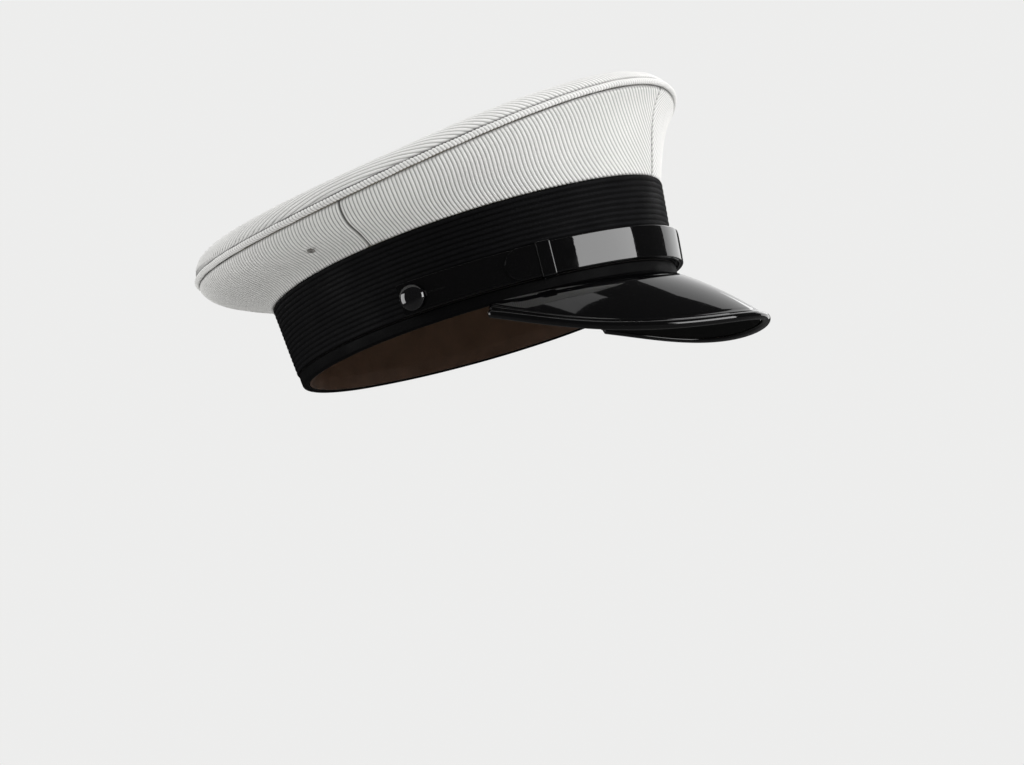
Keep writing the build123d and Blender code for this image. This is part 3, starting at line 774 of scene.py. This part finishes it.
class CAP_OT_piping(Operator):
    """Model the cloth-covered piping round the crown's edge"""
    bl_idname = "cap.piping"
    bl_label = "Crown piping"

    def execute(self, context):
        cloth = context.scene.cap_cloth
        step = np.linspace(0, 2 * math.pi, 721)
        reach = oval_reach(CROWN_OVAL, 0, step)
        x, y = reach * np.cos(step) + CROWN_SHIFT, reach * np.sin(step)
        line = np.stack([x, y, edge_height(x, y) + PIPING / 2], -1)
        run = np.concatenate([[0], np.cumsum(np.linalg.norm(np.diff(line, axis=0), axis=1))])
        count = int(run[-1] / (cloth.rib_pitch / MM))
        per_rib, section = 7, 14

        def place(i, j):
            share = i / (count * per_rib)
            theta = np.interp(share * run[-1], run, step)
            reach = oval_reach(CROWN_OVAL, -0.15, theta)
            psi = 2 * math.pi * j / section
            twist = share * count + 0.45 * np.sin(psi)
            radius = PIPING / 2 - 0.35 + 0.45 * rib(twist)
            away = reach + radius * np.cos(psi)
            x, y = away * np.cos(theta), away * np.sin(theta)
            z = edge_height(reach * np.cos(theta) + CROWN_SHIFT, reach * np.sin(theta)) + PIPING / 2
            wave = 0.12 * wobble(x, y, 0 * x, 14, 71)
            return np.stack([x + CROWN_SHIFT, y, z + radius * np.sin(psi) + wave], -1)

        def depth(i, j):
            psi = 2 * math.pi * j / section
            # Painted shade: the piping's valleys between twists, and its side that turns in toward the
            # crown, are darkened in the cloth's colour.
            inward = np.clip(-np.cos(psi) * 1.2, 0, 1)
            return rib(i / per_rib + 0.45 * np.sin(psi)) * (1 - inward)

        piping = ring_piece("crown_piping_cloth", place, count * per_rib, section, depth)
        material = ribbed_cloth(cloth, "white_piping_cloth", follow_uv=False)
        finish_piece(piping, material, "cap", ["crown_piping"])
        return {"FINISHED"}


def thread_piece(name, places, radius, length, body, material):
    """Short stitches: places are (middle, direction, outward) in millimetres, in one piece."""
    clear_selection()
    bpy.ops.mesh.primitive_uv_sphere_add(segments=8, ring_count=6, radius=1)
    bead = bpy.context.object
    base = np.array([v.co[:] for v in bead.data.vertices])
    made = []
    for middle, way, out in places:
        way = way / np.linalg.norm(way)
        out = out - way * np.dot(out, way)
        out /= np.linalg.norm(out)
        side = np.cross(way, out)
        stitch = bead.copy()
        stitch.data = bead.data.copy()
        bpy.context.collection.objects.link(stitch)
        bow = 0.35 * radius * (1 - base[:, 0] ** 2)
        points = (middle + np.outer(base[:, 0] * length / 2, way) + np.outer(base[:, 1] * radius, side)
                  + np.outer(base[:, 2] * radius * 0.8 + bow, out))
        set_points(stitch, points)
        made.append(stitch)
    bpy.data.objects.remove(bead)
    clear_selection()
    for stitch in made:
        stitch.select_set(True)
    bpy.context.view_layer.objects.active = made[0]
    bpy.ops.object.join()
    obj = bpy.context.object
    obj.name = name
    smooth()
    finish_piece(obj, material, body)


class CAP_OT_seams(Operator):
    """Model the stitches beside the front and back seams and the whipped vent eyelets"""
    bl_idname = "cap.seams"
    bl_label = "Seam stitches and eyelets"

    def execute(self, context):
        cotton = plain_weave("white_thread", (0.78, 0.77, 0.74), 0.0003)
        for name, angle in (("front", 0.0), ("back", 180.0)):
            places = []
            for hand in (-1, 1):
                for v in np.arange(0.06, 0.96, 0.062):
                    theta = np.radians(np.array([angle + hand * 0.62]))
                    here, normal = side_surface(theta, np.array([v]))
                    above, _ = side_surface(theta, np.array([v + 0.01]))
                    places.append((here[0] + normal[0] * 0.16, (above - here)[0], normal[0]))
            thread_piece("crown_" + name + "_seam_stitches", places, 0.2, 1.5, "cap", cotton)
        for hand, side in ((-1, "right"), (1, "left")):
            self.eyelet(hand, side, plain_weave("eyelet_thread_" + side, (0.30, 0.29, 0.27), 0.0003))
        return {"FINISHED"}

    def eyelet(self, hand, side, material):
        """A ring of whipping stitches round the hole, and the loose end of its thread."""
        here, up, across, normal = eyelet_frame(hand)
        around, section = EYELET_WHIPS * 6, 12

        def place(i, j):
            a, psi = 2 * math.pi * i / around, 2 * math.pi * j / section
            thick = EYELET_THREAD + 0.12 * rib(a * EYELET_WHIPS / (2 * math.pi))
            reach = EYELET_REACH + thick * 1.15 * np.cos(psi)
            rise = 0.45 + thick * np.sin(psi)
            return (here + np.outer(reach * np.cos(a), across) + np.outer(reach * np.sin(a), up)
                    + np.outer(rise, normal))

        ring = ring_piece("vent_eyelet_" + side + "_whipping", place, around, section)
        finish_piece(ring, material, "cap", ["vent_eyelet_" + side])
        ends = []
        for s in np.linspace(0, 1, 14):
            middle = (here + across * hand * -(1.7 + 3.2 * s) + up * (0.9 * math.sin(2.6 * s) - 0.2)
                      + normal * (0.55 + 0.25 * math.sin(5 * s)))
            turn = np.linspace(0, 2 * math.pi, 9)[:-1]
            ends.append(middle + 0.14 * (np.outer(np.cos(turn), up) + np.outer(np.sin(turn), normal)))
        tail = tube_piece("vent_eyelet_" + side + "_thread_end", np.array(ends))
        finish_piece(tail, material, "cap")


# ---------- band ----------

class CAP_OT_band(Operator):
    """Model the ribbed braid and the rolled lower binding"""
    bl_idname = "cap.band"
    bl_label = "Band"

    def execute(self, context):
        band = context.scene.cap_band
        per_rib, around = 8, 480
        outer = band.ribs * per_rib
        section = outer + 8
        height = band.rib_height / MM

        def ribs(g, share):
            """How the braid wavers, in millimetres, and how high it stands on its ribs."""
            waver = 0.1 * wobble(np.cos(g) * 100, np.sin(g) * 100, share * 40, 26, 31)
            return waver, rib(share * band.ribs + waver * 0.4, 0.7)

        def place(i, j):
            g = 2 * math.pi * i / around
            inside = j > outer
            share = np.where(inside, 1 - (j - outer - 1) / 6, j / outer).clip(0, 1)
            waver, cord = ribs(g, share)
            offset = np.where(inside, -BRAID_THICK, height * cord - height - BRAID_CLEAR + waver)
            top = band_top(band_point(g, offset, BAND_MIDDLE)[..., 0])
            return band_point(g, offset, BRAID_START + (top - BRAID_START) * share)

        def depth(i, j):
            # Painted shade and light along the braid's ribs: darker in the valleys, lighter on the
            # crests.
            return ribs(2 * math.pi * i / around, np.clip(j / outer, 0, 1))[1]

        braid = ring_piece("band_braid_ribs", place, around, section, depth)
        finish_piece(braid, mohair_braid(band), "cap", ["band_braid"])

        outline = rounded_section(BINDING_HALF_THICK, BINDING_HALF_HEIGHT, BINDING_CORNER, 3, 5)
        turns = 300

        def roll(i, j):
            g = 2 * math.pi * i / turns
            u, v = outline[j, 0], outline[j, 1]
            uneven = 0.12 * wobble(np.cos(g) * 100, np.sin(g) * 100, 0 * g, 30, 33)
            uneven = uneven + 0.25 * rib(v / 2.8 + 0.5) - 0.2
            return band_point(g, u - 2.38 + np.where(u > 0, uneven, 0), v + BINDING_HALF_HEIGHT)

        # The binding shares the braid's finish, with an even middle level of its painted rib shade.
        binding = ring_piece("band_binding_roll", roll, turns, len(outline), lambda i, j: 0.4 + 0 * i)
        finish_piece(binding, braid.data.materials[0], "cap", ["band_binding"])
        return {"FINISHED"}


class CAP_OT_inside(Operator):
    """Finish the sweatband, lining, stiffener and other inside pieces"""
    bl_idname = "cap.inside"
    bl_label = "Inside"

    def execute(self, context):
        leather = context.scene.cap_leather
        finishes = {
            "sweatband": grained_leather("brown_sweatband_leather", tuple(leather.sweatband), 0.8, 0.5),
            "band_stiffener": pressed_board("fibre_board", (0.02, 0.018, 0.016)),
            "peak_board": pressed_board("peak_fibre_board", (0.02, 0.018, 0.016)),
            "crown_grommet": moulded_plastic("pale_ring_plastic", (0.75, 0.73, 0.68)),
            "crown_front_stay": moulded_plastic("stay_plastic", (0.72, 0.70, 0.64)),
            "crown_top_lining": plain_weave("gold_lining_satin", (0.45, 0.40, 0.30)),
        }
        brass = drawn_brass("drawn_brass", (0.60, 0.44, 0.20))
        for side in ("right", "left"):
            finishes["button_shank_" + side] = finishes["split_pin_" + side] = brass
        for node, material in finishes.items():
            paint_node(node, material)
        return {"FINISHED"}


# ---------- peak ----------

class CAP_OT_peak(Operator):
    """Model the patent cover, the lining and the bead of the peak"""
    bl_idname = "cap.peak"
    bl_label = "Peak"

    def execute(self, context):
        leather = context.scene.cap_leather
        t, w = np.meshgrid(np.linspace(PEAK_START, PEAK_STOP, 161), np.linspace(0, 1, 61))
        base = peak_surface(t, w)
        # A groove runs inside the rim, with a low swell between the two.
        to_rim = np.linalg.norm(peak_rim(t) - base, axis=-1) - RIM_RADIUS
        crease = 0.22 * fade(to_rim - 2.4, 0.45) - 0.12 * fade(to_rim - 1.2, 0.7)
        top = base + sheet_normals(base) * (COVER_THICK + LAYER_GAP - crease)[..., None]
        cover = grid_piece("peak_patent_cover", top)
        thicken(cover, (0, 0, -1), COVER_THICK * MM, -1)
        patent = patent_leather(leather)
        finish_piece(cover, patent, "cap", ["peak_cover"])

        under = peak_surface(t, w, -3.0, -1.2, 0.055)
        under = under - sheet_normals(under) * (BOARD_THICK + LAYER_GAP)
        lining = grid_piece("peak_underside_lining", under)
        thicken(lining, (0, 0, 1), LINING_THICK * MM, 1)
        grained = grained_leather("black_peak_lining", (0.004, 0.0042, 0.004), 0.9, 0.6, 0.12)
        finish_piece(lining, grained, "cap", ["peak_lining"])

        rim = tube_piece("peak_rim_bead", self.bead_rings())
        finish_piece(rim, patent, "cap", ["peak_rim"])
        return {"FINISHED"}

    def bead_rings(self):
        """Round sections along the rim, smaller at its two ends."""
        along = np.linspace(PEAK_START, PEAK_STOP, 201)
        line = peak_rim(along)
        way = np.gradient(line, axis=0)
        way /= np.linalg.norm(way, axis=1)[:, None]
        up = np.array([0, 0, 1.0]) - way * way[:, 2:]
        up /= np.linalg.norm(up, axis=1)[:, None]
        side = np.cross(way, up)
        psi = np.linspace(0, 2 * math.pi, 33)[:-1]
        to_end = np.minimum(along - PEAK_START, PEAK_STOP - along)
        swell = 1 - np.clip(1 - to_end / 0.006, 0, 1)[:, None] ** 2 * 0.7
        spokes = np.cos(psi)[None, :, None] * side[:, None] + np.sin(psi)[None, :, None] * up[:, None]
        return line[:, None] + RIM_RADIUS * swell[..., None] * spokes


# ---------- chin strap, keepers, buttons ----------

def strap_rings(number, hand):
    """Sections along a strap buttoned on side hand, from its square end to its rounded end."""
    inner = STRAP_GAP + number * (STRAP_THICK + STRAP_LAP)
    tip = TAB_PLACE - math.degrees(TAB_RADIUS / SIDE_RADIUS)
    rounding = (TAB_PLACE + 5 - tip) * np.cos(np.linspace(0, math.pi / 2, 26))[:-1]
    angle = np.concatenate([[-3.6, -3.45], np.linspace(-3.2, 90, 120),
                            np.linspace(91, 180 - TAB_PLACE - 5, 70), 180 - tip - rounding,
                            [180 - tip - 0.02]])
    to_tab = (180 - TAB_PLACE - angle) * math.radians(1) * SIDE_RADIUS
    near = np.clip(1 - np.abs(to_tab) / TAB_TAPER, 0, 1)
    widening = (TAB_RADIUS - STRAP_WIDTH / 2) * np.where(to_tab > 0, near ** 0.7, 1)
    round_end = np.sqrt(np.maximum(TAB_RADIUS ** 2 - np.minimum(to_tab, 0) ** 2, 0.04))
    half = np.where(to_tab < 0, round_end, STRAP_WIDTH / 2 + widening)
    half[0] -= 0.25  # the square end's corners are eased
    # The outline's flat part is stretched to the width; its corners keep their size.
    corner, corner_height = 0.3, 0.42
    outline = rounded_section(STRAP_THICK / 2, 1.0, corner, 8, 4)
    up = outline[:, 1]
    v = np.sign(up) * np.maximum(np.abs(up) - (1 - corner), 0) / corner * corner_height
    rings = []
    for a, h in zip(angle, half):
        g = hand * (math.pi / 2 - math.radians(a))
        z = STRAP_MIDDLE + np.clip(up / (1 - corner), -1, 1) * max(h - corner_height, 0.05) + v
        uneven = 0.05 * wobble(a * 1.6, z, 0, 22, 41 + number)
        crown = 0.1 * (1 - ((z - STRAP_MIDDLE) / max(h, 0.1)) ** 2)
        offset = inner + STRAP_THICK / 2 + outline[:, 0] + np.where(outline[:, 0] > 0, crown, 0)
        offset = offset + uneven - 0.03
        rings.append(band_point(np.full(len(z), g), offset, z))
    return np.array(rings)


class CAP_OT_strap(Operator):
    """Model the two lapped layers of the chin strap and their buttonholes"""
    bl_idname = "cap.strap"
    bl_label = "Chin strap"

    def execute(self, context):
        patent = patent_leather(context.scene.cap_leather, "strap_patent", 0.8)
        for number, hand, name in ((0, -1, "inner"), (1, 1, "outer")):
            strap = tube_piece("chin_strap_" + name + "_patent", strap_rings(number, hand))
            smooth(50)
            finish_piece(strap, patent, "chin_strap", ["chin_strap_" + name])
            self.buttonhole(number, hand, name, patent)
        return {"FINISHED"}

    def buttonhole(self, number, hand, name, material):
        """Turned lips of the slit in front of the button."""
        offset = STRAP_GAP + number * (STRAP_THICK + STRAP_LAP) + STRAP_THICK
        around, section = 64, 10

        def place(i, j):
            a, psi = 2 * math.pi * i / around, 2 * math.pi * j / section
            run = SLIT_PLACE + (SLIT_HALF_LENGTH + SLIT_LIP * np.cos(psi)) * np.cos(a)
            z = BUTTON_Z + (SLIT_HALF_WIDTH + SLIT_LIP * np.cos(psi)) * np.sin(a)
            g = hand * (math.pi / 2 - run / SIDE_RADIUS)
            return band_point(g, offset + 0.06 + 0.1 * np.sin(psi), z)

        lips = ring_piece("chin_strap_" + name + "_buttonhole", place, around, section)
        finish_piece(lips, material, "chin_strap")


class CAP_OT_keepers(Operator):
    """Model the two leather keepers that slide on the strap"""
    bl_idname = "cap.keepers"
    bl_label = "Keepers"

    def execute(self, context):
        patent = patent_leather(context.scene.cap_leather, "keeper_patent", 0.8)
        inner = STRAP_GAP - KEEPER_CLEAR - KEEPER_THICK / 2
        outer = STRAP_GAP + 2 * STRAP_THICK + STRAP_LAP + KEEPER_CLEAR + KEEPER_THICK / 2
        half_z = STRAP_WIDTH / 2 + 0.8
        loop = rounded_section((outer - inner) / 2, half_z, 0.9, 9, 6)
        strip = rounded_section(KEEPER_THICK / 2, KEEPER_WIDTH / 2, 0.24, 4, 4)
        after = np.roll(loop, -1, axis=0) - np.roll(loop, 1, axis=0)
        after /= np.linalg.norm(after, axis=1)[:, None]
        for hand, side in ((-1, "right"), (1, "left")):
            def place(i, j):
                u, v = loop[i, 0], loop[i, 1]
                out_u, out_v = after[i, 1], -after[i, 0]
                lift, run = strip[j, 0], strip[j, 1]
                lift = lift - 0.1 * (run / KEEPER_WIDTH * 2) ** 2 * (u > 0)
                g = hand * (math.pi / 2 - math.radians(KEEPER_PLACE) - run / SIDE_RADIUS)
                z = STRAP_MIDDLE + v + out_v * lift
                return band_point(g, (inner + outer) / 2 + u + out_u * lift, z)

            keeper = ring_piece("keeper_" + side + "_loop", place, len(loop), len(strip))
            finish_piece(keeper, patent, "keeper_" + side, ["keeper_" + side])
        return {"FINISHED"}


def button_profile(lift):
    """Reach from the axis and rise from the back of a button, for each latitude of a ball."""
    below = np.clip(-lift / (math.pi / 2), 0, 1)
    rim = np.clip(below * 3, 0, 1)
    tucked = (BUTTON_RADIUS - BUTTON_TUCK * rim ** 2) * np.where(below > 1 / 3, (1 - below) * 1.5, 1)
    reach = np.where(lift < 0, tucked, BUTTON_RADIUS * np.cos(lift))
    dome = BUTTON_RIM + (BUTTON_DOME - BUTTON_RIM) * np.sin(lift)
    return reach, np.where(lift < 0, BUTTON_RIM * (1 - rim), dome)


class CAP_OT_buttons(Operator):
    """Model the two domed side buttons"""
    bl_idname = "cap.buttons"
    bl_label = "Side buttons"

    def execute(self, context):
        gloss = Finish("black_button_enamel", (0.003, 0.003, 0.0035), 0.04, Coat_Weight=1.0,
                       Coat_Roughness=0.01)
        fine = gloss.noise(300.0, 4.0)
        gloss.rough(gloss.spread(fine, 0.4, 0.8, 0.02, 0.07))
        for hand, side in ((-1, "right"), (1, "left")):
            low, high = (np.array(corner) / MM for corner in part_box("side_button_" + side))
            back = low[1] if hand > 0 else high[1]
            clear_selection()
            bpy.ops.mesh.primitive_uv_sphere_add(segments=72, ring_count=36, radius=1)
            button = bpy.context.object
            button.name = "side_button_" + side + "_dome"
            ball = np.array([v.co[:] for v in button.data.vertices])
            lift = np.arcsin(np.clip(ball[:, 2], -1, 1))
            turn = np.arctan2(ball[:, 1], ball[:, 0])
            reach, rise = button_profile(lift)
            set_points(button, np.stack([reach * np.cos(turn), back + hand * rise,
                                         BUTTON_Z + reach * np.sin(turn)], -1))
            weld()
            smooth(60)
            finish_piece(button, gloss.material, "side_button_" + side, ["side_button_" + side])
        return {"FINISHED"}


# ---------- stage and camera ----------

class CAP_OT_stage(Operator):
    """Set the pale floor, the soft lights and the plain surroundings"""
    bl_idname = "cap.stage"
    bl_label = "Stage"

    def execute(self, context):
        stage = context.scene.cap_stage
        clear_selection()
        bpy.ops.mesh.primitive_circle_add(vertices=96, radius=3.0, fill_type="NGON",
                                          location=(0, 0, -stage.floor_drop))
        floor = context.object
        floor.name = "floor"
        finish = Finish("pale_floor", (0.8, 0.8, 0.79), 0.9)
        grain = finish.noise(6.0)
        finish.tint(finish.spread(grain, 0.3, 0.7, 0, 1), (0.61, 0.61, 0.60), (0.64, 0.64, 0.63))
        # The camera sees the floor a little lifted, and the glossy pieces mirror it dark.
        rays, plain = finish.node("ShaderNodeLightPath").outputs, finish.shader.outputs[0]
        lift = finish.node("ShaderNodeEmission", None, Color=(0.95, 0.95, 0.94, 1), Strength=0.22)
        bright = finish.node("ShaderNodeAddShader", None, i0=plain, i1=lift.outputs[0])
        seen = finish.node("ShaderNodeMixShader", None, i0=rays["Is Camera Ray"], i1=plain,
                           i2=bright.outputs[0])
        dark = finish.node("ShaderNodeBsdfDiffuse", None, Color=(0.10, 0.10, 0.10, 1))
        both = finish.node("ShaderNodeMixShader", None, i0=rays["Is Glossy Ray"], i1=seen.outputs[0],
                           i2=dark.outputs[0])
        finish.links.new(both.outputs[0], finish.nodes["Material Output"].inputs["Surface"])
        floor.data.materials.append(finish.material)
        self.surround(context.scene, stage)
        context.scene.view_settings.view_transform = "Standard"
        for name, place, width, height, power in LAMPS:
            lamp = bpy.data.lights.new(name, "AREA")
            lamp.shape, lamp.size, lamp.size_y = "RECTANGLE", width, height
            lamp.energy = power * stage.light
            obj = bpy.data.objects.new(name, lamp)
            context.collection.objects.link(obj)
            obj.visible_glossy = name != "overhead"
            obj.location = place
            obj.rotation_mode = "QUATERNION"
            way = Vector(LAMP_TARGET) - Vector(place)
            obj.rotation_quaternion = way.to_track_quat("-Z", "Y")
        return {"FINISHED"}

    def surround(self, scene, stage):
        """Plain surroundings, with a strength of their own for the camera and for glossy pieces."""
        world = bpy.data.worlds.new("plain_surroundings")
        scene.world = world
        world.use_nodes = True
        nodes, links = world.node_tree.nodes, world.node_tree.links
        plain = nodes["Background"]
        plain.inputs["Color"].default_value = (*stage.backdrop, 1)
        ray = nodes.new("ShaderNodeLightPath")
        strength = None
        for output, extra in (("Is Camera Ray", stage.backdrop_strength - stage.fill_strength),
                              ("Is Glossy Ray", stage.mirror_strength - stage.fill_strength)):
            step = nodes.new("ShaderNodeMath")
            step.operation = "MULTIPLY_ADD"
            step.inputs[1].default_value = extra
            step.inputs[2].default_value = stage.fill_strength
            links.new(ray.outputs[output], step.inputs[0])
            if strength:
                links.new(strength, step.inputs[2])
            strength = step.outputs[0]
        links.new(strength, plain.inputs["Strength"])


class CAP_OT_camera(Operator):
    """Set the camera: level with the peak, seen from the wearer's right front"""
    bl_idname = "cap.camera"
    bl_label = "Camera"

    AZIMUTH, ELEVATION, ROLL = 20.351, -8.993, -15.491
    DISTANCE, LENS, SENSOR = 1.8, 121.82, 36.0
    SHIFT_X, SHIFT_Y = 0.0219, -0.0472

    def execute(self, context):
        az, el, roll = (math.radians(a) for a in (self.AZIMUTH, self.ELEVATION, self.ROLL))
        back = Vector((math.sin(az) * math.cos(el), -math.cos(az) * math.cos(el), math.sin(el)))
        right = Vector((math.cos(az), math.sin(az), 0))
        up = right.cross(-back)
        turned_right = right * math.cos(roll) + up * math.sin(roll)
        turned_up = -right * math.sin(roll) + up * math.cos(roll)
        data = bpy.data.cameras.new("camera")
        data.lens, data.sensor_width = self.LENS, self.SENSOR
        data.shift_x, data.shift_y = self.SHIFT_X, self.SHIFT_Y
        data.clip_start, data.clip_end = 0.1, 30
        camera = bpy.data.objects.new("camera", data)
        context.collection.objects.link(camera)
        turn = Matrix((turned_right, turned_up, back)).transposed().to_4x4()
        camera.matrix_world = Matrix.Translation(back * self.DISTANCE) @ turn
        context.scene.camera = camera
        return {"FINISHED"}


class CAP_PT_panel(Panel):
    """Lists the cap's sizes and the steps that build it"""
    bl_idname = "CAP_PT_panel"
    bl_label = "Peaked Cap"
    bl_space_type = "VIEW_3D"
    bl_region_type = "UI"
    bl_category = "Cap"

    def draw(self, context):
        layout = self.layout
        for name in GROUPS:
            group = getattr(context.scene, name)
            box = layout.box()
            for key in group.__annotations__:
                box.prop(group, key)
        for step in STEPS:
            layout.operator(step.bl_idname)


GROUPS = {"cap_cloth": CapCloth, "cap_band": CapBand, "cap_leather": CapLeather, "cap_stage": CapStage}
STEPS = (CAP_OT_camera, CAP_OT_quarters, CAP_OT_top, CAP_OT_piping, CAP_OT_seams, CAP_OT_band,
         CAP_OT_inside, CAP_OT_peak, CAP_OT_strap, CAP_OT_keepers, CAP_OT_buttons, CAP_OT_stage)


def register():
    for cls in (*GROUPS.values(), *STEPS, CAP_PT_panel):
        bpy.utils.register_class(cls)
    for name, group in GROUPS.items():
        setattr(bpy.types.Scene, name, PointerProperty(type=group))


def unregister():
    for name in GROUPS:
        delattr(bpy.types.Scene, name)
    for cls in reversed((*GROUPS.values(), *STEPS, CAP_PT_panel)):
        bpy.utils.unregister_class(cls)


def main():
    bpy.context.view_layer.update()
    register()
    for step in STEPS:
        family, name = step.bl_idname.split(".")
        getattr(getattr(bpy.ops, family), name)()


if __name__ == "__main__":
    main()
